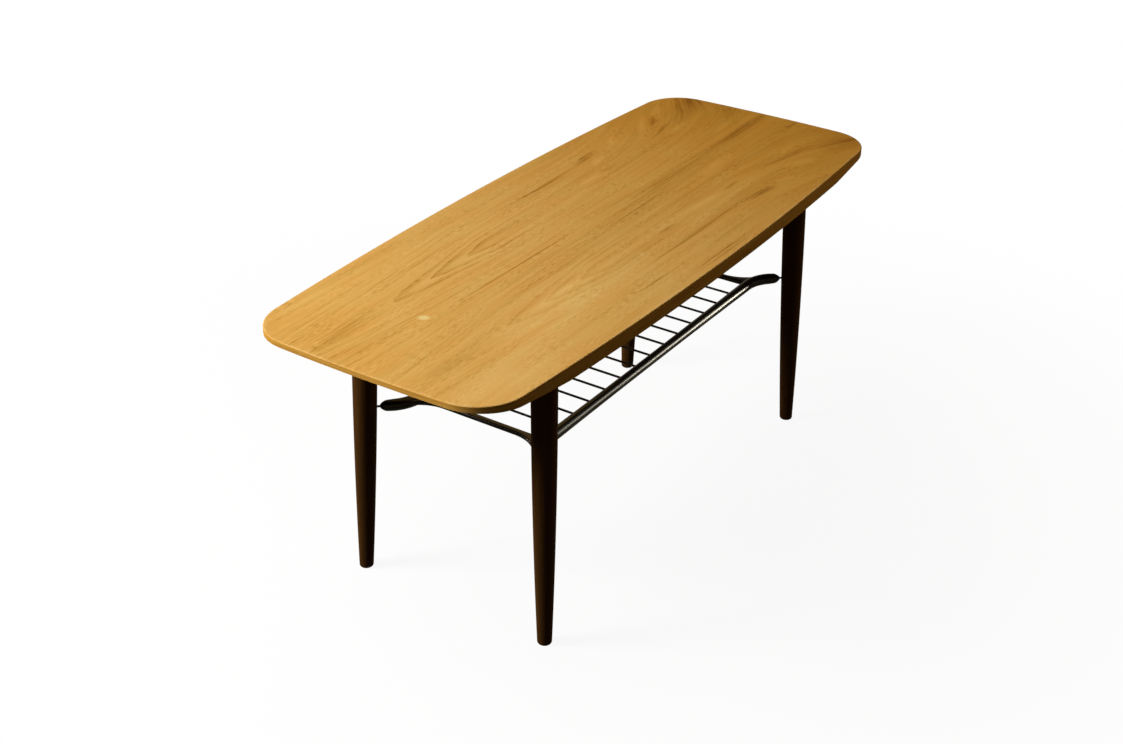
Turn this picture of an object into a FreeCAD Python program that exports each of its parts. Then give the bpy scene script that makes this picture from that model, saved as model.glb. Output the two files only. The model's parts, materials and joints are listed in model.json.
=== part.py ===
import FreeCAD, Part
import math
import os

# Magazine table: a bowed, veneered top on four turned legs that splay a little, and a rack of thin
# rungs that hangs between the legs on steel pins. Millimetres. The origin is on the floor under the
# middle of the top; X runs along the top, -Y is the front and +Z is up.

os.makedirs("parts", exist_ok=True)

# Table top
table_height = 470.0
top_length = 1100.0
top_width = 440.0
side_bow = 21.5          # swell of each long side over its whole length
end_bow = 8.0            # swell of each end over its whole width
corner_radius = 72.0
core_thickness = 20.0
veneer_thickness = 0.7
band_thickness = 2.5     # solid wood band glued round the core
arris_radius = 1.6       # softened top edge
bevel_length = 162.0     # long bevel planed under each end
end_edge_height = 8.4    # what the bevel leaves standing at the ends

# Legs
leg_inset_end = 190.6    # end of the top to the leg's centre under the top
leg_inset_side = 68.8    # widest line of the top to the leg's centre under the top
leg_lean_x = 14.5        # how far the foot stands out beyond the leg's top
leg_lean_y = 11.0
leg_foot_radius = 10.6
leg_belly_radius = 18.6  # middle pole of the turned curve
leg_top_radius = 18.3
foot_round = 3.5

# Leg fixings
plate_size = 54.0
plate_thickness = 2.5
plate_corner_radius = 8.0
collar_radius = 7.0      # threaded collar drawn up out of the plate
collar_height = 7.0
bolt_radius = 4.0
bolt_leg_depth = 40.0
bolt_chamfer = 0.8
bolt_point = 7.0
screw_inset = 8.0        # edge of the plate to a screw's axis
screw_radius = 1.9
screw_length = 14.0
screw_point = 4.0
screw_head_radius = 3.8
screw_head_height = 2.0
screw_slot_width = 0.9
screw_slot_depth = 0.9

# Rack
rack_height = 275.5      # floor to the middle of the rails
arm_reach = 46.4         # leg's axis to the rail's axis, across the table
arm_angle = 45.0         # degrees that a rail's end turns out towards its leg
arm_bend_radius = 60.0
rail_radius = 8.8        # at the bends
rail_waist_radius = 7.5  # at mid length
arm_end_radius = 8.3     # where an arm's bullet-shaped end begins
arm_tip_length = 11.0
arm_tip_radius = 2.8
arm_tip_shoulder_share = 0.5    # along the bullet end, where its curve is half spent
arm_tip_fullness_share = 0.835  # radius there, of the arm's
pin_radius = 1.7
pin_gap = 4.3            # bare pin between arm and leg
pin_leg_depth = 12.0
pin_arm_depth = 18.0
pin_chamfer = 0.3
rung_radius = 1.8
rung_count = 13
rung_seat = 5.5          # how far a rung enters the rail
rung_chamfer = 0.3
rung_end_gap_share = 1.1    # pitch from a last rung to the end rail, of the rungs' own
end_rail_setback = 4.5   # end rail's axis beyond the start of the bend
end_rail_rise = 1.2      # end rail's axis above the long rails'
end_rail_width = 10.8
end_rail_height = 7.4
end_rail_round = 3.4
flare_radius = 60.0      # hollow curve from the end rail into the arm
flare_bite = 1.5         # how deep that curve runs into the arm
tenon_radius = 3.0
tenon_length = 5.5

# Fits
fit_clearance = 0.1      # round parts in their holes
end_room = 0.4           # left at the bottom of a blind hole
overrun = 2.0            # cutters run past what they cut
pick_room = 0.05         # how near a level an edge lies to be picked for rounding

V = FreeCAD.Vector
X_AXIS = V(1, 0, 0)
Y_AXIS = V(0, 1, 0)
UP = V(0, 0, 1)
CORNERS = {
    "front_left": (-1, -1),
    "front_right": (1, -1),
    "back_left": (-1, 1),
    "back_right": (1, 1),
}

# Heights
top_thickness = core_thickness + 2 * veneer_thickness
underside = table_height - top_thickness
veneer_base = table_height - veneer_thickness
leg_seat = underside - plate_thickness

# Places in the quarter where X and Y are positive
leg_top_x = top_length / 2 - leg_inset_end
leg_top_y = top_width / 2 - leg_inset_side
leg_lean = math.hypot(leg_lean_x, leg_lean_y)
leg_length = math.hypot(leg_seat, leg_lean)


def leg_axis(height):
    """Point on the axis of the leg at a height above the floor."""
    spread = (leg_seat - height) / leg_seat
    return V(leg_top_x + leg_lean_x * spread, leg_top_y + leg_lean_y * spread, height)


def leg_radius(along):
    """Radius of the turned leg, along its length from the foot."""
    t = along / leg_length
    return (1 - t) ** 2 * leg_foot_radius + 2 * t * (1 - t) * leg_belly_radius + t ** 2 * leg_top_radius


turn = math.radians(arm_angle)
arm_way = V(math.cos(turn), math.sin(turn), 0)
rack_leg = leg_axis(rack_height)
rail_y = rack_leg.y - arm_reach
rail_corner_x = rack_leg.x - arm_reach / math.tan(turn)
bend_start_x = rail_corner_x - arm_bend_radius * math.tan(turn / 2)
bend_centre = V(bend_start_x, rail_y + arm_bend_radius, rack_height)
bend_end = bend_centre + V(math.sin(turn), -math.cos(turn), 0) * arm_bend_radius
pin_seat = rack_leg - arm_way * leg_radius(rack_height)
arm_tip = pin_seat - arm_way * pin_gap
end_rail_x = bend_start_x + end_rail_setback
end_rail_z = rack_height + end_rail_rise
rung_pitch = 2 * end_rail_x / (rung_count - 1 + 2 * rung_end_gap_share)


def export(shape, node):
    shape.exportStep("parts/" + node + ".step")


def in_corner(shape, signs):
    """Copy of a shape made in the +X +Y quarter, mirrored to another corner."""
    copy = shape.copy()
    if signs[0] < 0:
        copy = copy.mirror(V(), X_AXIS)
    if signs[1] < 0:
        copy = copy.mirror(V(), Y_AXIS)
    return copy


def arc(start, middle, end):
    return Part.Arc(start, middle, end).toShape()


def line(start, end):
    return Part.makeLine(start, end)


def turned(edges, axis_start, axis_way):
    """Solid of revolution of a closed outline about one of its sides."""
    return Part.Face(Part.Wire(edges)).revolve(axis_start, axis_way, 360)


def along(shape, start, way):
    """Stand a shape made along +Z on a point, turned to run a given way."""
    copy = shape.copy()
    copy.Placement = FreeCAD.Placement(start, FreeCAD.Rotation(UP, way))
    return copy


def rod(radius, length, chamfer):
    """Round bar along +Z with both ends chamfered."""
    points = [V(), V(radius - chamfer, 0, 0), V(radius, 0, chamfer), V(radius, 0, length - chamfer),
              V(radius - chamfer, 0, length), V(0, 0, length), V()]
    return turned([line(a, b) for a, b in zip(points, points[1:])], V(), UP)


def hole(radius, start, way, length):
    """Cutter for a round hole that opens at start; it runs past the mouth."""
    way = V(way).normalize()
    return Part.makeCylinder(radius + fit_clearance, length + overrun, start - way * overrun, way)


# Table top

def bow_radius(chord, bow):
    """Radius of an arc that rises by bow over a chord."""
    return (chord ** 2 / 4 + bow ** 2) / (2 * bow)


side_radius = bow_radius(top_length, side_bow)
end_radius = bow_radius(top_width, end_bow)
side_centre = V(0, top_width / 2 - side_radius, 0)
end_centre = V(top_length / 2 - end_radius, 0, 0)


def corner_centre():
    """Centre of the corner arc that is tangent to a long side and an end."""
    to_side = side_radius - corner_radius
    to_end = end_radius - corner_radius
    between = end_centre - side_centre
    gap = between.Length
    way = V(between).normalize()
    square = V(way.y, -way.x, 0)
    foot = (to_side ** 2 - to_end ** 2 + gap ** 2) / (2 * gap)
    return side_centre + way * foot + square * math.sqrt(to_side ** 2 - foot ** 2)


def point_out(centre, toward, radius):
    return centre + (toward - centre).normalize() * radius


corner = corner_centre()
band_joint_x = point_out(side_centre, corner, side_radius).x


def top_plan(inset):
    """Face of the top's plan, drawn in by inset: bowed sides, bowed ends, tangent corners."""
    side_mid = V(0, top_width / 2 - inset, 0)
    side_end = point_out(side_centre, corner, side_radius - inset)
    end_start = point_out(end_centre, corner, end_radius - inset)
    corner_mid = corner + (side_end + end_start - corner * 2).normalize() * (corner_radius - inset)
    end_mid = V(top_length / 2 - inset, 0, 0)

    def flip(point, x_sign, y_sign):
        return V(point.x * x_sign, point.y * y_sign, 0)

    edges = []
    for y in (1, -1):
        edges.append(arc(flip(side_end, -1, y), flip(side_mid, 1, y), flip(side_end, 1, y)))
        for x in (1, -1):
            edges.append(arc(flip(side_end, x, y), flip(corner_mid, x, y), flip(end_start, x, y)))
    for x in (1, -1):
        edges.append(arc(flip(end_start, x, 1), flip(end_mid, x, 1), flip(end_start, x, -1)))
    return Part.Face(Part.Wire(Part.__sortEdges__(edges)))


def plan_block(inset, low, high):
    """The top's plan, drawn in by inset, between two heights."""
    face = top_plan(inset)
    face.translate(V(0, 0, low))
    return face.extrude(V(0, 0, high - low))


def above_underside(lift):
    """Everything above the underside and its two end bevels, raised by lift."""
    half_length = top_length / 2 + overrun
    flat_half = top_length / 2 - bevel_length
    slope = (top_thickness - end_edge_height) / bevel_length
    low = underside + lift
    tip = low + (bevel_length + overrun) * slope
    high = table_height + overrun
    back = top_width / 2 + overrun
    profile = [(-half_length, tip), (-flat_half, low), (flat_half, low), (half_length, tip),
               (half_length, high), (-half_length, high), (-half_length, tip)]
    wire = Part.makePolygon([V(x, back, z) for x, z in profile])
    return Part.Face(wire).extrude(V(0, -2 * back, 0))


def slab(x_low, x_high, z_low, z_high):
    """Block across the whole width of the table."""
    half_width = top_width / 2 + overrun
    return Part.makeBox(x_high - x_low, 2 * half_width, z_high - z_low, V(x_low, -half_width, z_low))


def shaped_top():
    """The whole top as one block, bevelled under its ends, with the top arris softened."""
    block = plan_block(0, underside, table_height).common(above_underside(0))
    rim = [e for e in block.Edges if all(abs(v.Z - table_height) < pick_room for v in e.Vertexes)]
    return block.makeFillet(arris_radius, rim)


def plate_screw_places():
    """Screw axes of the +X +Y leg plate, at the top's underside."""
    off = plate_size / 2 - screw_inset
    return [V(leg_top_x + x * off, leg_top_y + y * off, underside) for x in (-1, 1) for y in (-1, 1)]


def fixing_holes():
    """Cutters for the leg plates' collars and screws in the underside of the top."""
    centre = V(leg_top_x, leg_top_y, underside)
    cutters = [hole(collar_radius, centre, UP, collar_height + end_room)]
    for place in plate_screw_places():
        cutters.append(hole(screw_radius, place, UP, screw_length - plate_thickness + end_room))
    quarter = Part.makeCompound(cutters)
    return Part.makeCompound([in_corner(quarter, signs) for signs in CORNERS.values()])


def make_top():
    whole = shaped_top()
    half = top_length / 2 + overrun
    export(whole.common(slab(-half, half, veneer_base, table_height + overrun)), "top_veneer")

    body = whole.common(slab(-half, half, underside - overrun, veneer_base))
    inner = plan_block(band_thickness, underside - overrun, table_height)
    ring = body.cut(inner)
    ends = {"edge_band_left": (-half, -band_joint_x), "edge_band_right": (band_joint_x, half)}
    for node, (low, high) in ends.items():
        export(ring.common(slab(low, high, underside - overrun, table_height)), node)
    sides = ring.common(slab(-band_joint_x, band_joint_x, underside - overrun, table_height)).Solids
    sides.sort(key=lambda solid: solid.CenterOfMass.y)
    export(sides[0], "edge_band_front")
    export(sides[1], "edge_band_back")

    board = body.common(inner)
    core_space = above_underside(veneer_thickness)
    holes = fixing_holes()
    export(board.common(core_space).cut(holes), "top_core")
    export(board.cut(core_space).cut(holes), "underside_veneer")


# Legs

def make_legs():
    """Turned leg with a swelling taper, cut level at the floor and under its plate."""
    tilt = leg_lean / leg_seat
    spare_foot = leg_foot_radius * tilt
    spare_top = leg_top_radius * tilt + overrun
    curve = Part.BezierCurve()
    curve.setPoles([V(leg_foot_radius, 0, 0), V(leg_belly_radius, 0, leg_length / 2),
                    V(leg_top_radius, 0, leg_length)])
    tall = leg_length + spare_top
    rim = V(leg_top_radius, 0, tall)
    blank = turned([line(V(), V(leg_foot_radius, 0, 0)), curve.toShape(),
                    line(V(leg_top_radius, 0, leg_length), rim), line(rim, V(0, 0, tall)),
                    line(V(0, 0, tall), V())], V(), UP)
    sole = [e for e in blank.Edges if e.BoundBox.ZMax < pick_room and e.Length > leg_foot_radius]
    blank = blank.makeFillet(foot_round, sole)

    way = (leg_axis(leg_seat) - leg_axis(0)).normalize()
    placed = along(blank, leg_axis(0) - way * spare_foot, way)
    reach = 2 * leg_lean + 2 * leg_top_radius + overrun
    room = Part.makeBox(2 * reach, 2 * reach, leg_seat, V(leg_top_x - reach, leg_top_y - reach, 0))
    leg = placed.common(room)
    seat = V(leg_top_x, leg_top_y, leg_seat)
    leg = leg.cut(hole(bolt_radius, seat, UP * -1, bolt_leg_depth + end_room))
    leg = leg.cut(hole(pin_radius, pin_seat, arm_way, pin_leg_depth + end_room))
    for name, signs in CORNERS.items():
        export(in_corner(leg, signs), "leg_" + name)


# Leg fixings

def make_plates():
    """Pressed steel plate with a drawn threaded collar and four countersunk holes."""
    centre = V(leg_top_x, leg_top_y, leg_seat)
    low_corner = centre - V(plate_size / 2, plate_size / 2, 0)
    plate = Part.makeBox(plate_size, plate_size, plate_thickness, low_corner)
    upright = [e for e in plate.Edges if e.BoundBox.ZLength > plate_thickness / 2]
    plate = plate.makeFillet(plate_corner_radius, upright)
    plate = plate.fuse(Part.makeCylinder(collar_radius, plate_thickness + collar_height, centre))
    plate = plate.removeSplitter()
    plate = plate.cut(hole(bolt_radius, centre, UP, plate_thickness + collar_height + overrun))
    for place in plate_screw_places():
        mouth = V(place.x, place.y, leg_seat)
        plate = plate.cut(hole(screw_radius, mouth, UP, plate_thickness + overrun))
        plate = plate.cut(Part.makeCone(screw_head_radius, screw_radius, screw_head_height, mouth))
    for name, signs in CORNERS.items():
        export(in_corner(plate, signs), "leg_plate_" + name)


def make_bolts():
    """Hanger bolt: wood-screw point in the leg, machine thread in the plate's collar."""
    length = bolt_leg_depth + plate_thickness + collar_height
    points = [V(), V(bolt_radius, 0, bolt_point), V(bolt_radius, 0, length - bolt_chamfer),
              V(bolt_radius - bolt_chamfer, 0, length), V(0, 0, length), V()]
    bolt = turned([line(a, b) for a, b in zip(points, points[1:])], V(), UP)
    bolt.translate(V(leg_top_x, leg_top_y, leg_seat - bolt_leg_depth))
    for name, signs in CORNERS.items():
        export(in_corner(bolt, signs), "hanger_bolt_" + name)


def make_screws():
    """Four slotted countersunk wood screws for each leg plate."""
    points = [V(), V(screw_head_radius, 0, 0), V(screw_radius, 0, screw_head_height),
              V(screw_radius, 0, screw_length - screw_point), V(0, 0, screw_length), V()]
    screw = turned([line(a, b) for a, b in zip(points, points[1:])], V(), UP)
    slot_length = 2 * screw_head_radius + overrun
    slot_corner = V(-slot_length / 2, -screw_slot_width / 2, -overrun)
    screw = screw.cut(Part.makeBox(slot_length, screw_slot_width, screw_slot_depth + overrun, slot_corner))
    group = []
    for place in plate_screw_places():
        copy = screw.copy()
        copy.translate(V(place.x, place.y, leg_seat))
        group.append(copy)
    for name, signs in CORNERS.items():
        export(in_corner(Part.makeCompound(group), signs), "plate_screws_" + name)


# Rack

def rung_places():
    first = -rung_pitch * (rung_count - 1) / 2
    return [first + index * rung_pitch for index in range(rung_count)]


def rail_blank():
    """Back rail: waisted along the middle, bent out at both ends into bullet-nosed arms."""
    left = V(-bend_start_x, rail_radius, 0)
    right = V(bend_start_x, rail_radius, 0)
    waist = Part.BezierCurve()
    waist.setPoles([left, V(0, 2 * rail_waist_radius - rail_radius, 0), right])
    middle = turned([waist.toShape(), line(right, V(bend_start_x, 0, 0)),
                     line(V(bend_start_x, 0, 0), V(-bend_start_x, 0, 0)),
                     line(V(-bend_start_x, 0, 0), left)], V(), X_AXIS)
    middle.translate(V(0, rail_y, rack_height))

    ring = Part.makeCircle(rail_radius, V(bend_start_x, rail_y, rack_height), X_AXIS)
    bend = Part.Face(Part.Wire(ring)).revolve(bend_centre, UP, arm_angle)

    length = (arm_tip - bend_end).Length
    shoulder = length - arm_tip_length
    side = V(arm_end_radius, 0, shoulder)
    nose = V(arm_tip_radius, 0, length)
    full = V(arm_end_radius * arm_tip_fullness_share, 0, shoulder + arm_tip_length * arm_tip_shoulder_share)
    arm = turned([line(V(), V(rail_radius, 0, 0)), line(V(rail_radius, 0, 0), side), arc(side, full, nose),
                  line(nose, V(0, 0, length)), line(V(0, 0, length), V())], V(), UP)
    turned_out = bend.fuse(along(arm, bend_end, arm_way))
    return middle.fuse([turned_out, turned_out.mirror(V(), X_AXIS)]).removeSplitter()


def make_rails(blank):
    """Drill the rail for its rungs, tenons and pins."""
    inner_y = rail_y - rail_waist_radius
    cutters = [hole(rung_radius, V(x, inner_y, rack_height), Y_AXIS, rung_seat + end_room)
               for x in rung_places()]
    for x in (-end_rail_x, end_rail_x):
        mouth = V(x, rail_y - rail_radius, end_rail_z)
        cutters.append(hole(tenon_radius, mouth, Y_AXIS, tenon_length + end_room))
    pin_hole = hole(pin_radius, arm_tip, arm_way * -1, pin_arm_depth + end_room)
    cutters += [pin_hole, pin_hole.mirror(V(), X_AXIS)]
    rail = blank.cut(Part.makeCompound(cutters))
    export(rail, "rack_rail_back")
    export(rail.mirror(V(), Y_AXIS), "rack_rail_front")


def make_end_rails(blank):
    """End rail that flares into the arms, scribed round the long rails and tenoned into them."""
    inner = end_rail_x - end_rail_width / 2
    outer = end_rail_x + end_rail_width / 2
    reach = arm_bend_radius + rail_radius + flare_radius - flare_bite
    flare_x = outer + flare_radius
    flare_y = bend_centre.y - math.sqrt(reach ** 2 - (flare_x - bend_centre.x) ** 2)
    flare_centre = V(flare_x, flare_y, 0)
    bend_plan = V(bend_centre.x, bend_centre.y, 0)
    start = V(outer, flare_y, 0)
    end = point_out(flare_centre, bend_plan, flare_radius)
    middle = flare_centre + (start + end - flare_centre * 2).normalize() * flare_radius
    in_arm = point_out(bend_plan, flare_centre, arm_bend_radius)
    in_rail = V(inner, rail_y, 0)

    def half(y):
        flip = lambda point: V(point.x, point.y * y, 0)
        return [line(flip(V(outer, 0, 0)), flip(start)), arc(flip(start), flip(middle), flip(end)),
                line(flip(end), flip(in_arm)), line(flip(in_arm), flip(in_rail)),
                line(flip(in_rail), flip(V(inner, 0, 0)))]

    plan = Part.Face(Part.Wire(Part.__sortEdges__(half(1) + half(-1))))
    plan.translate(V(0, 0, end_rail_z - end_rail_height / 2))
    bar = plan.extrude(V(0, 0, end_rail_height)).removeSplitter()
    long_edges = [e for e in bar.Edges
                  if e.BoundBox.ZLength < pick_room and not in_the_rail(e)]
    bar = bar.makeFillet(end_rail_round, long_edges)
    bar = bar.cut(blank).cut(blank.mirror(V(), Y_AXIS))
    bar = max(bar.Solids, key=lambda solid: solid.Volume)
    tenon_end = rail_y - rail_radius + tenon_length
    tenon = Part.makeCylinder(tenon_radius, 2 * tenon_end, V(end_rail_x, -tenon_end, end_rail_z), Y_AXIS)
    bar = bar.fuse(tenon).removeSplitter()
    export(bar, "rack_end_rail_right")
    export(bar.mirror(V(), X_AXIS), "rack_end_rail_left")


def in_the_rail(edge):
    """True for an edge of the end rail's plan that the scribing takes away."""
    middle = edge.valueAt((edge.FirstParameter + edge.LastParameter) / 2)
    return abs(middle.y) > rail_y - rail_radius / 2 and edge.BoundBox.XLength > end_rail_width / 2


def make_rungs():
    half_length = rail_y - rail_waist_radius + rung_seat
    rung = along(rod(rung_radius, 2 * half_length, rung_chamfer), V(0, -half_length, rack_height), Y_AXIS)
    for index, x in enumerate(rung_places()):
        copy = rung.copy()
        copy.translate(V(x, 0, 0))
        export(copy, "rack_rung_%02d" % (index + 1))


def make_pins():
    """Steel pin from each arm's tip into its leg."""
    length = pin_arm_depth + pin_gap + pin_leg_depth
    pin = along(rod(pin_radius, length, pin_chamfer), arm_tip - arm_way * pin_arm_depth, arm_way)
    for name, signs in CORNERS.items():
        export(in_corner(pin, signs), "rack_pin_" + name)


make_top()
make_legs()
make_plates()
make_bolts()
make_screws()
long_rail = rail_blank()
make_rails(long_rail)
make_end_rails(long_rail)
make_rungs()
make_pins()
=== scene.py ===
import json
import math

import bmesh
import bpy
from mathutils import Matrix, Vector

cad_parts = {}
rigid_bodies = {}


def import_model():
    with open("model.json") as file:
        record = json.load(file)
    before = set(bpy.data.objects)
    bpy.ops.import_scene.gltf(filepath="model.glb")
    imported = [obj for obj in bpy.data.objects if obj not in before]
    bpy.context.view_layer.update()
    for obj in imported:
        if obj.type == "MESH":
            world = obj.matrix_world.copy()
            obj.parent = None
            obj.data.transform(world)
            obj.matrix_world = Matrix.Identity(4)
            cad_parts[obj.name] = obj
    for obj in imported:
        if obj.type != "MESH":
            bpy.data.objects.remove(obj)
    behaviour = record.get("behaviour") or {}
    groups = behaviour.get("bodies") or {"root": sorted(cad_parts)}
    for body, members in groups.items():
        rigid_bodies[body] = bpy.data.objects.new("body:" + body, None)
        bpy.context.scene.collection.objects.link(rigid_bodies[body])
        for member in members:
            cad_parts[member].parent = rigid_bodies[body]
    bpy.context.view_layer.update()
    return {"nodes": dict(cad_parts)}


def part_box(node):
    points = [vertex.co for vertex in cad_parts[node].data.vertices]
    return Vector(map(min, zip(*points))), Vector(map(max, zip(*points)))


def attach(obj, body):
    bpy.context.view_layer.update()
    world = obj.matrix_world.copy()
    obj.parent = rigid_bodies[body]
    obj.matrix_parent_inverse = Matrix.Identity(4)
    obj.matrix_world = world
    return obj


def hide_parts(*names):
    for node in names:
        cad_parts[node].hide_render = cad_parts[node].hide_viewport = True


# A magazine table: a bowed top in book-matched teak veneer on four turned legs stained black-brown,
# with a rack of thin black rungs hung between the legs. Metres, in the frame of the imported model.

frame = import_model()

CORNERS = {
    "front_left": (-1, -1),
    "front_right": (1, -1),
    "back_left": (-1, 1),
    "back_right": (1, 1),
}
LEFT_RIGHT = {"left": -1, "right": 1}
FRONT_BACK = {"front": -1, "back": 1}
UP = Vector((0, 0, 1))
MM_PER_M = 1000
CREASE = math.radians(32)    # faces that meet at more than this keep a sharp edge


# Shared helpers

def linear(hex_colour):
    """An sRGB hex colour as linear red, green, blue and alpha."""
    parts = [int(hex_colour[i:i + 2], 16) / 255 for i in (1, 3, 5)]
    return [c / 12.92 if c <= 0.04045 else ((c + 0.055) / 1.055) ** 2.4 for c in parts] + [1]


def plug(tree, node, **inputs):
    """Set or link a node's inputs; i0, i1 name sockets by number."""
    for name, value in inputs.items():
        socket = node.inputs[int(name[1:]) if name[1:].isdigit() else name.replace("_", " ")]
        if isinstance(value, bpy.types.Node):
            value = value.outputs[0]
        if isinstance(value, bpy.types.NodeSocket):
            tree.links.new(value, socket)
        else:
            socket.default_value = value


def add(tree, kind, settings=(), **inputs):
    """Add a node with its settings and inputs."""
    made = tree.nodes.new(kind)
    for name, value in dict(settings).items():
        setattr(made, name, value)
    plug(tree, made, **inputs)
    return made


def begin_material(name):
    material = bpy.data.materials.new(name)
    material.use_nodes = True
    return material, material.node_tree, material.node_tree.nodes["Principled BSDF"]


def fill_ramp(ramp, stops):
    """Give a colour ramp its stops: place to hex colour."""
    elements = ramp.color_ramp.elements
    while len(elements) < len(stops):
        elements.new(1)
    for element, (place, colour) in zip(elements, stops.items()):
        element.position = place
        element.color = linear(colour)


def finish_piece(piece, replaced):
    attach(piece, "root")
    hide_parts(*replaced)


def smooth_mesh(mesh):
    """Smooth shading, broken at the creases."""
    mesh.shade_smooth()
    mesh.set_sharp_from_angle(angle=CREASE)
    return mesh


def loft(name, rings, grain, material):
    """A closed skin over rings of points. grain holds each point's place in the straight wood."""
    count = len(rings[0])
    faces = []
    for ring in range(len(rings) - 1):
        here, after = ring * count, (ring + 1) * count
        for i in range(count):
            j = (i + 1) % count
            faces.append([here + i, here + j, after + j, after + i])
    faces.append(list(range(count)))
    faces.append([(len(rings) - 1) * count + i for i in range(count)])
    mesh = bpy.data.meshes.new(name)
    mesh.from_pydata([point for ring in rings for point in ring], [], faces)
    places = mesh.attributes.new("grain", "FLOAT_VECTOR", "POINT")
    places.data.foreach_set("vector", [c for ring in grain for point in ring for c in point])
    shell = bmesh.new()
    shell.from_mesh(mesh)
    bmesh.ops.recalc_face_normals(shell, faces=shell.faces)
    shell.to_mesh(mesh)
    shell.free()
    mesh.materials.append(material)
    piece = bpy.data.objects.new(name, smooth_mesh(mesh))
    bpy.context.scene.collection.objects.link(piece)
    return piece


def begin_tree(name, sizes):
    """A Geometry Nodes tree with named inputs, and the sockets that they come in by."""
    tree = bpy.data.node_groups.new(name, "GeometryNodeTree")
    tree.interface.new_socket("Geometry", in_out="INPUT", socket_type="NodeSocketGeometry")
    for size, kind in sizes.items():
        tree.interface.new_socket(size, in_out="INPUT", socket_type="NodeSocket" + kind)
    tree.interface.new_socket("Geometry", in_out="OUTPUT", socket_type="NodeSocketGeometry")
    return tree, add(tree, "NodeGroupInput").outputs


def grow(name, tree, values, points=()):
    """Run a Geometry Nodes tree with its inputs set, and keep the result as a plain mesh."""
    seed_mesh = bpy.data.meshes.new(name + "_points")
    seed_mesh.from_pydata(list(points), [], [])
    piece = bpy.data.objects.new(name, seed_mesh)
    bpy.context.scene.collection.objects.link(piece)
    modifier = piece.modifiers.new(tree.name, "NODES")
    modifier.node_group = tree
    for socket in tree.interface.items_tree:
        if socket.in_out == "INPUT" and socket.name in values:
            modifier[socket.identifier] = values[socket.name]
    evaluated = piece.evaluated_get(bpy.context.evaluated_depsgraph_get())
    mesh = bpy.data.meshes.new_from_object(evaluated)
    piece.modifiers.clear()
    piece.data = smooth_mesh(mesh)
    mesh.name = name
    bpy.data.meshes.remove(seed_mesh)
    return piece


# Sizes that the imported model's boxes don't give

side_bow = 0.0215        # swell of each long side over the whole length
end_bow = 0.008          # swell of each end over the whole width
corner_radius = 0.072
band_thickness = 0.0025
arris_radius = 0.0016
bevel_length = 0.162     # long bevel under each end of the top
end_edge_height = 0.0084
leg_foot_radius = 0.0106
leg_belly_radius = 0.0186
leg_top_radius = 0.0183
foot_round = 0.0035
screw_inset = 0.008
screw_radius = 0.0019
screw_length = 0.014
screw_head_radius = 0.0038
screw_head_height = 0.002
screw_slot = 0.0009
arm_turn = math.radians(45)
arm_bend_radius = 0.06
rail_radius = 0.0088
rail_waist_radius = 0.0075
arm_end_radius = 0.0083
arm_tip_length = 0.011
arm_tip_radius = 0.0028
end_rail_setback = 0.0045
end_rail_width = 0.0108
end_rail_round = 0.0034
flare_radius = 0.06
flare_bite = 0.0015
pin_radius = 0.0017
pin_chamfer = 0.0003

# How finely the curves are drawn

end_steps = 8
corner_steps = 28
bevel_steps = 4
side_steps = 18
arris_steps = 10
leg_sides = 64
leg_rings = 96
head_sides = 32
shank_sides = 24
rail_sides = 40
rail_steps = 24
bend_steps = 20
arm_steps = 3
tip_steps = 14
bar_steps = 8
flare_steps = 24
round_steps = 6
rung_sides = 24
rung_rings = 8
pin_sides = 24


# Woods and finishes

VENEER_STREAKS = (
    # x, y, half length, half width in mm, turn in degrees, how much darker
    (70, 143, 140, 4.5, 0, 0.40),
    (204, 152, 42, 8, 7, 0.50),
    (70, -140, 160, 4.5, 0, 0.40),
    (242, -150, 48, 8, -9, 0.50),
    (-190, 12, 230, 2.4, -0.5, 0.34),
    (150, -10, 240, 34, 0, 0.12),
    (330, 2, 280, 14, 1, 0.18),
    (500, 5, 130, 13, 1, 0.24),
    (178, 97, 36, 4, -1, 0.36),
    (237, -97, 30, 4, 2, 0.34),
    (40, -98, 36, 5, -3, 0.34),
    (535, 145, 120, 38, 14, 0.36),
    (525, -165, 100, 42, -26, 0.30),
    (540, 80, 70, 50, 10, 0.12),
    (520, -57, 50, 6, -3, 0.20),
    (395, 117, 70, 6, 11, 0.30),
    (407, 147, 45, 8, 28, 0.22),
    (385, -113, 70, 6, -13, 0.26),
    (433, -120, 45, 6, -15, 0.24),
    (30, -203, 110, 2.4, -0.4, 0.40),
    (30, -209, 100, 2.0, -0.4, 0.36),
    (-115, -174, 66, 2.2, -3, 0.36),
    (-475, 88, 105, 18, 0, 0.16),
    (-455, -86, 115, 18, 0, 0.16),
    (-20, -32, 330, 34, 0, 0.08),
    (-200, 60, 150, 8, 0, -0.10),
    (140, 97, 60, 9, 0, -0.24),
    (206, 130, 30, 9, 12, -0.24),
    (286, 157, 34, 7, 25, -0.18),
    (387, 157, 48, 12, 30, -0.24),
    (447, 164, 38, 9, 28, -0.20),
    (400, 98, 50, 9, 4, -0.20),
    (453, 37, 34, 9, 5, -0.18),
    (-215, -84, 60, 8, 0, -0.22),
    (170, -96, 60, 8, 0, -0.22),
    (293, -37, 75, 17, 8, -0.12),
    (313, -154, 24, 10, -20, -0.24),
    (387, -144, 40, 14, -20, -0.26),
    (420, -100, 44, 8, 0, -0.16),
    (-470, -165, 230, 70, 0, -0.16),
    (-240, -112, 210, 66, 0, -0.20),
    (-525, 85, 130, 110, 0, 0.09),
)
VENEER_FLECKS = (
    # x, y, half length, half width in mm, turn in degrees, how much paler
    (-388, 23, 11, 9, -56, 0.6),
    (-54, -111, 6, 5, 0, 0.16),
)
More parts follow.
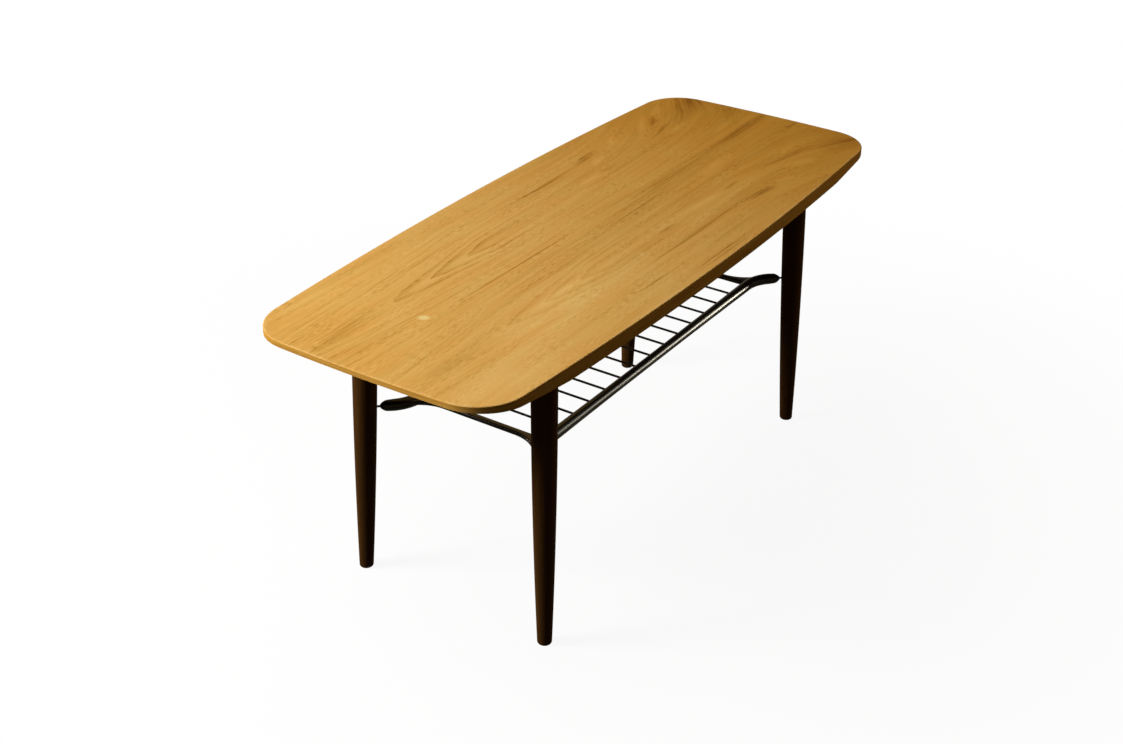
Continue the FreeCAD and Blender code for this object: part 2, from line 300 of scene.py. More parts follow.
GRAIN_WANDER = (
    # length, width in mm, step from leaf to leaf, detail, roughness
    (220, 48, 3, 1, 0.5),     # slow wander of the grain
    (60, 12, 3, 4, 0.6),      # quick wander
    (130, 20, 5, 1, 0.5),     # where the growth rings fade
)
GRAIN_MARKS = (
    (420, 15, 2, 2, 0.5),     # broad bands
    (120, 3.2, 2, 2, 0.5),    # fine streaks
    (12, 1.6, 2, 1, 0.5),     # pores, drawn wider than they are so that they show
    (90, 20, 4, 2, 0.5),      # flocks of pores
    (110, 34, 6, 1, 0.5),     # redder patches
)
RING_PITCH = 3.0              # growth rings, mm
LEAF_JOINT = 1.0              # the leaves meet at this y, mm
LEAF_SLIP = -31.0             # how far the second leaf is slipped along, mm
BLUR_START, BLUR_END = 200.0, 420.0    # the pattern softens along here, mm


def stretched_noises(tree, place, patterns):
    """Noises drawn out along the grain, one for each row of a table."""
    for length, width, leaf_step, detail, roughness in patterns:
        stretched = add(tree, "ShaderNodeMapping", Vector=place, Scale=(1 / length, 1 / width, leaf_step))
        yield add(tree, "ShaderNodeTexNoise", Vector=stretched, Scale=1.0,
                  Detail=detail, Roughness=roughness)


def sliced_teak_veneer():
    """Teak, flat-cut and sliced into two book-matched leaves, sanded and oiled: nested cathedral
    arches along each leaf, short dark pores with painted glints, darker mineral streaks, painted shade
    towards the far end, and a rim pale from rubbing and from a painted highlight."""
    material, tree, shader = begin_material("sliced_teak_veneer")
    place = add(tree, "ShaderNodeTexCoord").outputs["Object"]
    mm = add(tree, "ShaderNodeVectorMath", {"operation": "SCALE"}, i0=place, Scale=MM_PER_M)
    axes = add(tree, "ShaderNodeSeparateXYZ", i0=mm).outputs

    # The second leaf is the first one turned over, and slipped along a little
    leaf = add(tree, "ShaderNodeMath", {"operation": "LESS_THAN"}, i0=axes["Y"], i1=LEAF_JOINT)
    along = add(tree, "ShaderNodeMath", {"operation": "MULTIPLY_ADD"}, i0=leaf, i1=LEAF_SLIP, i2=axes["X"])
    from_joint = add(tree, "ShaderNodeMath", {"operation": "SUBTRACT"}, i0=axes["Y"], i1=LEAF_JOINT)
    across = add(tree, "ShaderNodeMath", {"operation": "ABSOLUTE"}, i0=from_joint)

    # Towards the far end the grain fans out to the corners
    past = add(tree, "ShaderNodeMapRange", i0=along, i1=190.0, i2=540.0, i3=0.0, i4=1.0)
    fan = add(tree, "ShaderNodeMath", {"operation": "POWER"}, i0=past, i1=1.6)
    outer = add(tree, "ShaderNodeMapRange", {"interpolation_type": "SMOOTHSTEP"},
                i0=across, i1=10.0, i2=190.0, i3=0.0, i4=-100.0)
    straight = add(tree, "ShaderNodeMath", {"operation": "MULTIPLY_ADD"}, i0=fan, i1=outer, i2=across)

    # The grain wanders, slowly by 9 mm and quickly by 4 mm
    flat = add(tree, "ShaderNodeCombineXYZ", X=along, Y=straight, Z=leaf)
    slow, quick, fade = stretched_noises(tree, flat, GRAIN_WANDER)
    wander = add(tree, "ShaderNodeMath", {"operation": "MULTIPLY_ADD"}, i0=slow, i1=9.0, i2=straight)
    wander = add(tree, "ShaderNodeMath", {"operation": "MULTIPLY_ADD"}, i0=quick, i1=4.0, i2=wander)

    # Growth rings; near one end the slice dives into them, 3.5 mm over each 100 mm
    run = add(tree, "ShaderNodeMath", {"operation": "ADD"}, i0=along, i1=377.0)
    lean = add(tree, "ShaderNodeMapRange", i0=run, i1=0.0, i2=380.0, i3=90.0, i4=97.0)
    off_axis = add(tree, "ShaderNodeMath", {"operation": "SUBTRACT"}, i0=wander, i1=lean)
    off_axis = add(tree, "ShaderNodeMath", {"operation": "ABSOLUTE"}, i0=off_axis)
    spread = add(tree, "ShaderNodeMath", {"operation": "POWER"}, i0=off_axis, i1=1.5)
    dive = add(tree, "ShaderNodeMapRange", i0=run, i1=-250.0, i2=225.0, i3=41.75, i4=25.125)
    radius = add(tree, "ShaderNodeMath", {"operation": "MULTIPLY_ADD"}, i0=spread, i1=0.0414, i2=dive)
    ring = add(tree, "ShaderNodeMath", {"operation": "DIVIDE"}, i0=radius, i1=RING_PITCH)
    part_of_ring = add(tree, "ShaderNodeMath", {"operation": "FRACT"}, i0=ring)
    late_wood = add(tree, "ShaderNodeMath", {"operation": "POWER"}, i0=part_of_ring, i1=1.5)
    year = add(tree, "ShaderNodeMath", {"operation": "FLOOR"}, i0=ring)
    season = add(tree, "ShaderNodeTexWhiteNoise", {"noise_dimensions": "1D"}, W=year)
    weak = add(tree, "ShaderNodeMath", {"operation": "POWER"}, i0=season, i1=2.0)
    arch = add(tree, "ShaderNodeMapRange", {"interpolation_type": "SMOOTHSTEP"},
               i0=year, i1=10.2, i2=11.5, i3=1.0, i4=0.0)
    tip = add(tree, "ShaderNodeMapRange", i0=along, i1=-130.0, i2=40.0, i3=1.0, i4=0.15)
    arch = add(tree, "ShaderNodeMath", {"operation": "MULTIPLY"}, i0=arch, i1=tip)
    strength = add(tree, "ShaderNodeMath", {"operation": "MAXIMUM"}, i0=weak, i1=arch)
    fade = add(tree, "ShaderNodeMapRange", i0=fade, i1=0.34, i2=0.62, i3=0.15, i4=1.0)
    fade = add(tree, "ShaderNodeMath", {"operation": "MAXIMUM"}, i0=fade, i1=arch)
    blurred = add(tree, "ShaderNodeMapRange", i0=along, i1=BLUR_START, i2=BLUR_END, i3=1.0, i4=0.25)
    line = add(tree, "ShaderNodeMath", {"operation": "SUBTRACT"}, i0=late_wood, i1=0.35)
    quiet = add(tree, "ShaderNodeMapRange", i0=leaf, i1=0.0, i2=1.0, i3=1.0, i4=0.65)
    for share in (strength, fade, blurred, quiet):
        line = add(tree, "ShaderNodeMath", {"operation": "MULTIPLY"}, i0=line, i1=share)

    # Broad bands, fine streaks, and pores 12 mm long in flocks, each dark or with a painted glint of pale
    # light
    grain = add(tree, "ShaderNodeCombineXYZ", X=along, Y=wander, Z=leaf)
    band, streak, vessels, flock, patch = stretched_noises(tree, grain, GRAIN_MARKS)
    pore = add(tree, "ShaderNodeMapRange", i0=vessels, i1=0.54, i2=0.66, i3=0.0, i4=1.0)
    # Painted glints: short pale marks where pores would catch the light
    painted_glint = add(tree, "ShaderNodeMapRange", i0=vessels, i1=0.46, i2=0.34, i3=0.0, i4=1.0)
    flock = add(tree, "ShaderNodeMapRange", i0=flock, i1=0.42, i2=0.6, i3=0.15, i4=1.0)
    pore = add(tree, "ShaderNodeMath", {"operation": "MULTIPLY"}, i0=pore, i1=flock)
    painted_glint = add(tree, "ShaderNodeMath", {"operation": "MULTIPLY"}, i0=painted_glint, i1=flock)

    fibres = add(tree, "ShaderNodeMapRange", i0=streak, i1=0.3, i2=0.7, i3=0.35, i4=1.65)
    line = add(tree, "ShaderNodeMath", {"operation": "MULTIPLY"}, i0=line, i1=fibres)
    tone = add(tree, "ShaderNodeMath", {"operation": "MULTIPLY_ADD"}, i0=line, i1=0.34, i2=0.06)
    tone = add(tree, "ShaderNodeMath", {"operation": "MULTIPLY_ADD"}, i0=band, i1=0.38, i2=tone)
    fine = 0.0
    for pattern, share in ((streak, 0.20), (pore, 0.22), (painted_glint, -0.14)):
        fine = add(tree, "ShaderNodeMath", {"operation": "MULTIPLY_ADD"}, i0=pattern, i1=share, i2=fine)
    calm = add(tree, "ShaderNodeMapRange", i0=along, i1=BLUR_START, i2=BLUR_END, i3=1.0, i4=0.7)
    tone = add(tree, "ShaderNodeMath", {"operation": "MULTIPLY_ADD"}, i0=fine, i1=calm, i2=tone)

    # Mineral streaks, frayed by the quick wander
    level = add(tree, "ShaderNodeVectorMath", {"operation": "MULTIPLY_ADD"},
                i0=mm, i1=(1.0, 1.0, 0.0), i2=(-23.0, -2.5, 0.0))
    ragged = add(tree, "ShaderNodeVectorMath", {"operation": "MULTIPLY_ADD"},
                 i0=quick.outputs["Color"], i1=(46.0, 5.0, 0.0), i2=level)
    marks = 0.0
    for x, y, half_length, half_width, turn, darker in VENEER_STREAKS:
        spot = add(tree, "ShaderNodeMapping", {"vector_type": "TEXTURE"}, Vector=ragged, Location=(x, y, 0),
                   Rotation=(0, 0, math.radians(turn)), Scale=(half_length, half_width, 1))
        shape = add(tree, "ShaderNodeTexGradient", {"gradient_type": "SPHERICAL"}, Vector=spot)
        marks = add(tree, "ShaderNodeMath", {"operation": "MULTIPLY_ADD"},
                    i0=shape.outputs["Fac"], i1=darker, i2=marks)
    tone = add(tree, "ShaderNodeMath", {"operation": "MULTIPLY_ADD"}, i0=marks, i1=fibres, i2=tone)
    # Painted shade: the tone darkens towards the far end
    far_end_painted_shade = add(tree, "ShaderNodeMapRange", {"interpolation_type": "SMOOTHSTEP"},
                  i0=axes["X"], i1=230.0, i2=450.0, i3=0.0, i4=0.08)
    tone = add(tree, "ShaderNodeMath", {"operation": "ADD"}, i0=tone, i1=far_end_painted_shade)

    ramp = add(tree, "ShaderNodeValToRGB", Fac=tone)
    fill_ramp(ramp, {0.0: "#E8BE72", 0.35: "#D7A656", 0.65: "#BB893A", 1.0: "#7F5110"})

    # Painted shade: darker and redder towards the far end
    painted_far_shade = add(tree, "ShaderNodeMapRange", {"interpolation_type": "SMOOTHSTEP"},
                i0=axes["X"], i1=-150.0, i2=550.0, i3=0.0, i4=1.0)
    painted_far_colour = add(tree, "ShaderNodeMix", {"data_type": "RGBA", "blend_type": "MULTIPLY"},
               i0=painted_far_shade, i6=ramp.outputs["Color"], i7=linear("#F8E6A8"))

    patch = add(tree, "ShaderNodeMapRange", i0=patch, i1=0.4, i2=0.62, i3=0.0, i4=1.0)
    warm = add(tree, "ShaderNodeMix", {"data_type": "RGBA", "blend_type": "MULTIPLY"},
               i0=patch, i6=painted_far_colour.outputs[2], i7=linear("#FFF7F0"))

    # Pale flecks, and a rim that is pale partly from rubbing and partly from a painted highlight along the
    # arris
    pale = warm.outputs[2]
    for x, y, half_length, half_width, turn, paler in VENEER_FLECKS:
        spot = add(tree, "ShaderNodeMapping", {"vector_type": "TEXTURE"}, Vector=mm,
                   Location=(x, y, table_height * MM_PER_M), Rotation=(0, 0, math.radians(turn)),
                   Scale=(half_length, half_width, 1))
        shape = add(tree, "ShaderNodeTexGradient", {"gradient_type": "SPHERICAL"}, Vector=spot)
        mark = add(tree, "ShaderNodeMapRange", {"interpolation_type": "SMOOTHSTEP"},
                   i0=shape.outputs["Fac"], i1=0.0, i2=0.6, i3=0.0, i4=paler)
        pale = add(tree, "ShaderNodeMix", {"data_type": "RGBA"},
                   i0=mark, i6=pale, i7=linear("#F0DC94")).outputs[2]

    # Pale rim colour: partly from rubbing, partly a painted highlight along the arris
    worn_and_highlit = add(tree, "ShaderNodeAttribute", {"attribute_name": "worn_and_highlit"})
    rubs = add(tree, "ShaderNodeTexNoise", Vector=mm, Scale=1 / 16, Detail=3.0)
    rubs = add(tree, "ShaderNodeMapRange", i0=rubs, i1=0.4, i2=0.62, i3=0.2, i4=1.0)
    rubbed_and_highlit = add(tree, "ShaderNodeMath", {"operation": "MULTIPLY"}, i0=worn_and_highlit.outputs["Fac"], i1=rubs)
    rim = add(tree, "ShaderNodeMix", {"data_type": "RGBA"}, i0=rubbed_and_highlit, i6=pale, i7=linear("#E3BE7C"))

    rough = add(tree, "ShaderNodeMapRange", i0=streak, i1=0.3, i2=0.7, i3=0.46, i4=0.58)
    bump = add(tree, "ShaderNodeBump", {"invert": True}, Strength=0.25, Distance=0.0001, Height=tone)
    plug(tree, shader, Base_Color=rim.outputs[2], Roughness=rough, Specular_IOR_Level=0.05, Normal=bump)
    return material


def straight_wood(name, colours, pattern, rough, specular, relief, follows_piece=True):
    """Straight-grained wood: broad bands, fine streaks and short flecks along a piece, or along X.
    pattern gives their length and width in mm and their share of the tone; relief is the bump's
    strength and its depth in m."""
    material, tree, shader = begin_material(name)
    if follows_piece:
        place = add(tree, "ShaderNodeAttribute", {"attribute_name": "grain"}).outputs["Vector"]
        detail = 2.0
    else:
        place = add(tree, "ShaderNodeTexCoord").outputs["Object"]
        detail = 3.0
    mm = add(tree, "ShaderNodeVectorMath", {"operation": "SCALE"}, i0=place, Scale=MM_PER_M)
    tone = 0.0
    for length, width, share in pattern:
        stretched = add(tree, "ShaderNodeMapping", Vector=mm, Scale=(1 / length, 1 / width, 1 / width))
        noise = add(tree, "ShaderNodeTexNoise", Vector=stretched, Scale=1.0, Detail=detail)
        spread = add(tree, "ShaderNodeMapRange", i0=noise, i1=0.3, i2=0.7, i3=0.0, i4=share)
        tone = add(tree, "ShaderNodeMath", {"operation": "ADD"}, i0=spread, i1=tone)
    ramp = add(tree, "ShaderNodeValToRGB", Fac=tone)
    fill_ramp(ramp, colours)
    gloss = add(tree, "ShaderNodeMapRange", i0=tone, i1=0.2, i2=0.8, i3=rough[0], i4=rough[1])
    bump = add(tree, "ShaderNodeBump", Strength=relief[0], Distance=relief[1], Height=tone)
    plug(tree, shader, Base_Color=ramp, Roughness=gloss, Specular_IOR_Level=specular, Normal=bump)
    return material


def sawn_teak_lipping():
    """Teak sawn into thin lipping and sanded: straight brown grain lines along the edge."""
    return straight_wood("sawn_teak_lipping", {0.1: "#AE7428", 0.45: "#D69C41", 0.9: "#E6B35C"},
                         ((160, 3.0, 0.45), (40, 0.9, 0.35), (9, 0.7, 0.2)),
                         (0.5, 0.62), 0.01, (0.1, 0.00002))


def stained_beech_legs():
    """Beech turned and stained black-brown under a thin satin lacquer: a near-black brown that lets
    slow streaks and the small ray flecks of the beech show through."""
    return straight_wood("stained_beech_legs", {0.15: "#402910", 0.5: "#4D3013", 0.9: "#5E3E1D"},
                         ((220, 9.0, 0.5), (60, 2.0, 0.25), (4, 1.0, 0.25)),
                         (0.48, 0.58), 0.02, (0.1, 0.00002))


def lacquered_beech_rack():
    """Beech steam-bent, stained black and lacquered glossy: black, with a hair of brown in the grain."""
    return straight_wood("lacquered_beech_rack", {0.1: "#0F0A05", 0.5: "#1A1108", 0.9: "#2B1C0D"},
                         ((180, 5.0, 0.6), (60, 2.4, 0.4)), (0.24, 0.3), 0.15, (0.1, 0.000002))


def lacquered_steel_wire():
    """Steel wire, drawn, straightened and dipped in black lacquer: black with faint runs and dust."""
    material, tree, shader = begin_material("lacquered_steel_wire")
    place = add(tree, "ShaderNodeTexCoord").outputs["Object"]
    mm = add(tree, "ShaderNodeVectorMath", {"operation": "SCALE"}, i0=place, Scale=MM_PER_M)
    runs_place = add(tree, "ShaderNodeMapping", Vector=mm, Scale=(1 / 2.5, 1 / 22, 1 / 2.5))
    runs = add(tree, "ShaderNodeTexNoise", Vector=runs_place, Scale=1.0, Detail=3.0)
    ramp = add(tree, "ShaderNodeValToRGB", Fac=runs)
    fill_ramp(ramp, {0.3: "#060504", 0.6: "#0B0A08", 0.8: "#14110E"})
    gloss = add(tree, "ShaderNodeMapRange", i0=runs, i1=0.3, i2=0.7, i3=0.3, i4=0.45)
    plug(tree, shader, Base_Color=ramp, Roughness=gloss, Specular_IOR_Level=0.1)
    return material


def metal_finish(name, colours, grit, rough, metallic):
    """Bare or plated steel: a cloudy colour with fine drawing marks. grit is their width in mm."""
    material, tree, shader = begin_material(name)
    place = add(tree, "ShaderNodeTexCoord").outputs["Object"]
    mm = add(tree, "ShaderNodeVectorMath", {"operation": "SCALE"}, i0=place, Scale=MM_PER_M)
    cloud_place = add(tree, "ShaderNodeMapping", Vector=mm, Scale=[1 / (grit * 8)] * 3)
    cloud = add(tree, "ShaderNodeTexNoise", Vector=cloud_place, Scale=1.0, Detail=3.0)
    grain_place = add(tree, "ShaderNodeMapping", Vector=mm, Scale=(1 / (grit * 6), 1 / grit, 1 / grit))
    grain = add(tree, "ShaderNodeTexNoise", Vector=grain_place, Scale=1.0, Detail=2.0)
    ramp = add(tree, "ShaderNodeValToRGB", Fac=cloud)
    fill_ramp(ramp, colours)
    gloss = add(tree, "ShaderNodeMapRange", i0=grain, i1=0.3, i2=0.7, i3=rough[0], i4=rough[1])
    bump = add(tree, "ShaderNodeBump", Strength=0.15, Distance=0.00005, Height=grain)
    plug(tree, shader, Base_Color=ramp, Roughness=gloss, Metallic=metallic, Normal=bump)
    return material


def sliced_backing_veneer():
    """Cheap mahogany-like veneer, sliced and left dull: brown with long soft grain."""
    return straight_wood("sliced_backing_veneer", {0.1: "#8F6438", 0.5: "#AF8250", 0.9: "#C79C68"},
                         ((260, 9, 0.5), (50, 1.6, 0.3), (8, 0.9, 0.2)),
                         (0.55, 0.7), 0.2, (0.2, 0.0001), follows_piece=False)


def sawn_core_board():
    """Blockboard core of sawn softwood: pale and straight grained."""
    return straight_wood("sawn_core_board", {0.1: "#B08A58", 0.5: "#C9A673", 0.9: "#DBBE90"},
                         ((200, 6, 0.6), (30, 1.5, 0.4)),
                         (0.7, 0.85), 0.2, (0.2, 0.0001), follows_piece=False)


# The top's plan: bowed sides and ends with tangent corner arcs

top_low, top_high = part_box("top_veneer")
half_length = -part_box("edge_band_left")[0].x
half_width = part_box("edge_band_back")[1].y
veneer_base = top_low.z
table_height = top_high.z
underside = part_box("underside_veneer")[0].z


def bow_radius(half_chord, bow):
    return (half_chord ** 2 + bow ** 2) / (2 * bow)


side_radius = bow_radius(half_length, side_bow)
end_radius = bow_radius(half_width, end_bow)
side_centre = Vector((0, half_width - side_radius))
end_centre = Vector((half_length - end_radius, 0))
corner_centre = Vector((half_length - corner_radius, half_width - corner_radius))
# Settle each corner arc until it touches the end and the side
for _ in range(30):
    corner_centre.x = end_centre.x + math.sqrt((end_radius - corner_radius) ** 2 - corner_centre.y ** 2)
    corner_centre.y = side_centre.y + math.sqrt((side_radius - corner_radius) ** 2 - corner_centre.x ** 2)
to_end = corner_centre - end_centre
to_side = corner_centre - side_centre
end_turn = math.atan2(to_end.y, to_end.x)
side_turn = math.atan2(to_side.y, to_side.x)
bevel_start = half_length - bevel_length
bevel_turn = math.acos(bevel_start / side_radius)


def arc_stations(centre, radius, start, stop, steps):
    """Points on an arc with the way out of the plan at each."""
    for step in range(steps + 1):
        angle = start + (stop - start) * step / steps
        way = Vector((math.cos(angle), math.sin(angle)))
        yield centre + way * radius, way


end_quarter = [*arc_stations(end_centre, end_radius, 0, end_turn, end_steps),
               *list(arc_stations(corner_centre, corner_radius, end_turn, side_turn, corner_steps))[1:]]
side_quarter = [*arc_stations(side_centre, side_radius, side_turn, bevel_turn, bevel_steps),
                *list(arc_stations(side_centre, side_radius, bevel_turn, math.pi / 2, side_steps))[1:]]


def mirrored(stations, x_sign, y_sign):
    sign = Vector((x_sign, y_sign))
    return [(point * sign, way * sign) for point, way in stations]


def end_stations(x_sign):
    """Along one end, corners included, from the front to the back."""
    return mirrored(end_quarter[:0:-1], x_sign, -1) + mirrored(end_quarter, x_sign, 1)


def side_stations(y_sign):
    """Along one long side, from the left corner to the right one."""
    return mirrored(side_quarter[:-1], -1, y_sign) + mirrored(side_quarter[::-1], 1, y_sign)


def arris():
    """Inset and height round the softened top edge, from the side up to the top."""
    for step in range(arris_steps + 1):
        angle = math.pi / 2 * step / arris_steps
        yield arris_radius * (1 - math.cos(angle)), table_height - arris_radius * (1 - math.sin(angle))


arris_centre = table_height - arris_radius
glue_line_inset = arris_radius - math.sqrt(arris_radius ** 2 - (veneer_base - arris_centre) ** 2)


def make_face_veneer():
    outline = (end_stations(1)[:-1] + side_stations(1)[::-1][:-1]
               + end_stations(-1)[::-1][:-1] + side_stations(-1)[:-1])
    # Inset, height, and pale rim share (rubbing plus painted highlight) from the glue line over the arris
    # and on to the flat
    rim = [(glue_line_inset, veneer_base, 0.4)]
    rim += [(inset, z, 0.4) for inset, z in arris() if z > veneer_base]
    rim += [(0.0026, table_height, 0.2), (0.006, table_height, 0.0), (0.03, table_height, 0.0)]
    rings = [[(*(point - way * inset), z) for point, way in outline] for inset, z, _ in rim]
    face = loft("face_veneer", rings, rings, sliced_teak_veneer())
    worn_and_highlit = face.data.attributes.new("worn_and_highlit", "FLOAT", "POINT")
    worn_and_highlit.data.foreach_set("value", [wear_and_highlight for _, _, wear_and_highlight in rim for _ in outline])
    finish_piece(face, ["top_veneer"])


def edge_bottom(x):
    """Height of the top's underside at a place along it."""
    slope = (table_height - underside - end_edge_height) / bevel_length
    return underside + max(abs(x) - bevel_start, 0) * slope


def make_edge_band(side, stations, material):
    upper = [(inset, z) for inset, z in arris() if z < veneer_base]
    upper += [(glue_line_inset, veneer_base), (band_thickness, veneer_base)]
    rings, grain, run = [], [], 0
    last = stations[0][0]
    for point, way in stations:
        run += (point - last).length
        last = point
        low = edge_bottom(point.x)
        profile = [(0, low), *upper, (band_thickness, low)]
        rings.append([(*(point - way * inset), z) for inset, z in profile])
        grain.append([(run, inset, z) for inset, z in profile])
    band = loft("lipping_" + side, rings, grain, material)
    finish_piece(band, ["edge_band_" + side])


# Turned legs

def turned_leg_tree():
    """A cylinder drawn out along the leg's axis: rings crowd towards the foot, whose edge is rounded,
    and the radius follows a curve through the foot, belly and top radii."""
    tree, size = begin_tree("turned_leg", {
        "Foot": "Vector", "Top": "Vector", "Foot Radius": "Float", "Belly Radius": "Float",
        "Top Radius": "Float", "Foot Round": "Float", "Material": "Material"})
    blank = add(tree, "GeometryNodeMeshCylinder", {"fill_type": "NGON"},
                Vertices=leg_sides, Side_Segments=leg_rings, Radius=1.0, Depth=1.0)
    place = add(tree, "ShaderNodeSeparateXYZ", i0=add(tree, "GeometryNodeInputPosition")).outputs
    share = add(tree, "ShaderNodeMath", {"operation": "ADD"}, i0=place["Z"], i1=0.5)
    share = add(tree, "ShaderNodeMath", {"operation": "POWER"}, i0=share, i1=2.0)
    lower = add(tree, "ShaderNodeMix", i0=share, i2=size["Foot Radius"], i3=size["Belly Radius"])
    upper = add(tree, "ShaderNodeMix", i0=share, i2=size["Belly Radius"], i3=size["Top Radius"])
    radius = add(tree, "ShaderNodeMix", i0=share, i2=lower, i3=upper)
    axis = add(tree, "ShaderNodeMix", {"data_type": "VECTOR"}, i0=share, i4=size["Foot"], i5=size["Top"])
    height = add(tree, "ShaderNodeSeparateXYZ", i0=axis.outputs[1]).outputs["Z"]
    short = add(tree, "ShaderNodeMath", {"operation": "SUBTRACT", "use_clamp": True},
                i0=size["Foot Round"], i1=height)
    square = add(tree, "ShaderNodeMath", {"operation": "POWER"}, i0=size["Foot Round"], i1=2.0)
    missing = add(tree, "ShaderNodeMath", {"operation": "POWER"}, i0=short, i1=2.0)
    rest = add(tree, "ShaderNodeMath", {"operation": "SUBTRACT"}, i0=square, i1=missing)
    rest = add(tree, "ShaderNodeMath", {"operation": "SQRT"}, i0=rest)
    cut = add(tree, "ShaderNodeMath", {"operation": "SUBTRACT"}, i0=size["Foot Round"], i1=rest)
    radius = add(tree, "ShaderNodeMath", {"operation": "SUBTRACT"}, i0=radius, i1=cut)
    out_x = add(tree, "ShaderNodeMath", {"operation": "MULTIPLY"}, i0=place["X"], i1=radius)
    out_y = add(tree, "ShaderNodeMath", {"operation": "MULTIPLY"}, i0=place["Y"], i1=radius)
    out = add(tree, "ShaderNodeCombineXYZ", X=out_x, Y=out_y)
    where = add(tree, "ShaderNodeVectorMath", {"operation": "ADD"}, i0=axis.outputs[1], i1=out)
    straight = add(tree, "ShaderNodeCombineXYZ", X=height, Y=out_x, Z=out_y)
    marked = add(tree, "GeometryNodeStoreNamedAttribute", {"data_type": "FLOAT_VECTOR"},
                 Geometry=blank, Name="grain", Value=straight)
    turned = add(tree, "GeometryNodeSetPosition", Geometry=marked, Position=where)
    real = add(tree, "GeometryNodeRealizeInstances", Geometry=turned)
    dressed = add(tree, "GeometryNodeSetMaterial", Geometry=real, Material=size["Material"])
    add(tree, "NodeGroupOutput", Geometry=dressed)
    return tree


def make_legs(material):
    tree = turned_leg_tree()
    for corner, (x_sign, y_sign) in CORNERS.items():
        low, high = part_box("leg_" + corner)
        far = Vector((max(abs(low.x), abs(high.x)), max(abs(low.y), abs(high.y))))
        near = Vector((min(abs(low.x), abs(high.x)), min(abs(low.y), abs(high.y))))
        foot = (far - Vector((leg_foot_radius, leg_foot_radius))) * Vector((x_sign, y_sign))
        top = (near + Vector((leg_top_radius, leg_top_radius))) * Vector((x_sign, y_sign))
        leg = grow("turned_leg_" + corner, tree, {
            "Foot": (foot.x, foot.y, low.z), "Top": (top.x, top.y, high.z), "Foot Radius": leg_foot_radius,
            "Belly Radius": leg_belly_radius, "Top Radius": leg_top_radius, "Foot Round": foot_round,
            "Material": material})
        finish_piece(leg, ["leg_" + corner])


# Plate screws

def plate_screw_tree():
    """Slotted countersunk screws pointing up, one at each point, each slot turned by chance."""
    tree, size = begin_tree("plate_screws", {
        "Radius": "Float", "Length": "Float", "Head Radius": "Float", "Head Height": "Float",
        "Slot": "Float", "Material": "Material"})
    head = add(tree, "GeometryNodeMeshCone", Vertices=head_sides, Radius_Top=size["Radius"],
               Radius_Bottom=size["Head Radius"], Depth=size["Head Height"])
    slot_length = add(tree, "ShaderNodeMath", {"operation": "MULTIPLY"}, i0=size["Head Radius"], i1=3.0)
    slot_height = add(tree, "ShaderNodeMath", {"operation": "MULTIPLY"}, i0=size["Slot"], i1=2.0)
    slot_size = add(tree, "ShaderNodeCombineXYZ", X=slot_length, Y=size["Slot"], Z=slot_height)
    slot = add(tree, "GeometryNodeMeshCube", Size=slot_size)
    slotted = add(tree, "GeometryNodeMeshBoolean", {"operation": "DIFFERENCE", "solver": "EXACT"},
                  i0=head, i1=slot)
    depth = add(tree, "ShaderNodeMath", {"operation": "SUBTRACT"},
                i0=size["Length"], i1=size["Head Height"])
    shank = add(tree, "GeometryNodeMeshCone", Vertices=shank_sides, Radius_Top=0.0,
                Radius_Bottom=size["Radius"], Depth=depth)
    lift = add(tree, "ShaderNodeCombineXYZ", Z=size["Head Height"])
    lifted = add(tree, "GeometryNodeTransform", Geometry=shank, Translation=lift)
    screw = add(tree, "GeometryNodeJoinGeometry", Geometry=slotted)
    plug(tree, screw, Geometry=lifted)
    chance = add(tree, "FunctionNodeRandomValue", {"data_type": "FLOAT"}, i2=0.0, i3=math.pi, Seed=7)
    turn = add(tree, "ShaderNodeCombineXYZ", Z=chance.outputs[1])
    placed = add(tree, "GeometryNodeInstanceOnPoints", Points=size["Geometry"],
                 Instance=screw, Rotation=turn)
    real = add(tree, "GeometryNodeRealizeInstances", Geometry=placed)
    dressed = add(tree, "GeometryNodeSetMaterial", Geometry=real, Material=size["Material"])
    add(tree, "NodeGroupOutput", Geometry=dressed)
    return tree


def make_plate_screws(material):
    tree = plate_screw_tree()
    for corner in CORNERS:
        low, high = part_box("leg_plate_" + corner)
        places = [(x, y, low.z) for x in (low.x + screw_inset, high.x - screw_inset)
                  for y in (low.y + screw_inset, high.y - screw_inset)]
        screws = grow("slotted_screws_" + corner, tree, {
            "Radius": screw_radius, "Length": screw_length, "Head Radius": screw_head_radius,
            "Head Height": screw_head_height, "Slot": screw_slot, "Material": material}, places)
        finish_piece(screws, ["plate_screws_" + corner])


# Rack

rail_low, rail_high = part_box("rack_rail_back")
rail_y = rail_low.y + rail_radius
rack_height = (rail_low.z + rail_high.z) / 2
end_rail_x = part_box("rack_end_rail_right")[0].x + end_rail_width / 2
bend_start = end_rail_x - end_rail_setback
bend_centre = Vector((bend_start, rail_y + arm_bend_radius))
arm_way = Vector((math.cos(arm_turn), math.sin(arm_turn)))
bend_end = bend_centre + Vector((math.sin(arm_turn), -math.cos(arm_turn))) * arm_bend_radius
arm_length = (rail_high.x - arm_tip_radius * math.sin(arm_turn) - bend_end.x) / arm_way.x
arm_tip = bend_end + arm_way * arm_length
other_board = 0.1        # each bar takes its grain from another place in the wood


